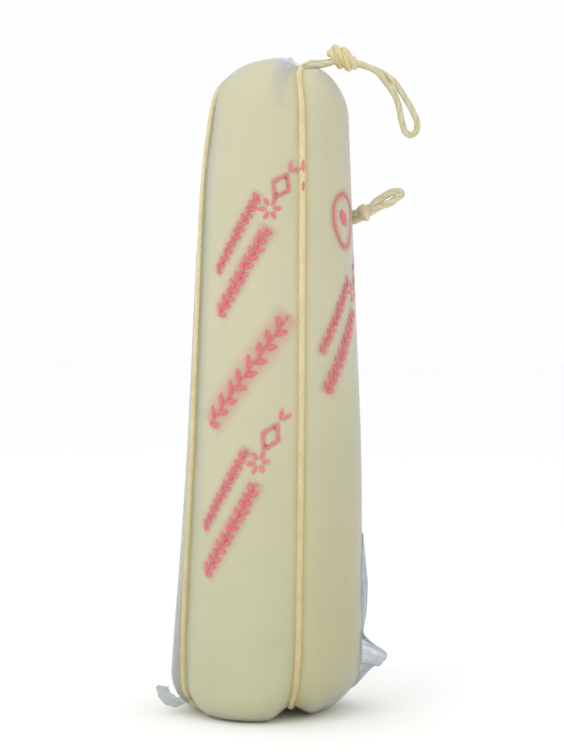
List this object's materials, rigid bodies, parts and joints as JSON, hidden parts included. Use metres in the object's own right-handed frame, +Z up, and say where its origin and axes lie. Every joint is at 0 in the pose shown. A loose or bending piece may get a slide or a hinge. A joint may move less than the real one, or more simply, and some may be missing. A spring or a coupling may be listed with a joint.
{
  "type": "provolone cheese",
  "caption": "Tall tapering provolone cheese, bound lengthwise with string, shrink-wrapped in clear film, with a knotted hanging loop at the top.",
  "frame": {"origin": "on the standing surface, on the cheese's axis, below the middle of the cheese and its film", "axes": "+Z up along the cheese, from its broad foot to its crown; -Y is the front, +X is to the right seen from the front, on the side of the hanging loop"},
  "size_m": [0.1769, 0.1322, 0.4587],
  "materials": {
    "cheese": "smooth ivory paste with a satin surface",
    "twine": "three-strand natural twine, dry",
    "film": "clear shrink film, glossy",
    "print": "pinkish red ink on the film"
  },
  "bodies": {
    "root": {"wrapped_cheese": "cheese", "string_front_back": "twine", "string_left_right": "twine", "crown_knot": "twine", "hanging_root": "twine", "hanging_knot": "twine", "hanging_loop": "twine", "side_root": "twine", "side_knot": "twine", "side_loop": "twine"}
  },
  "joints": []
}
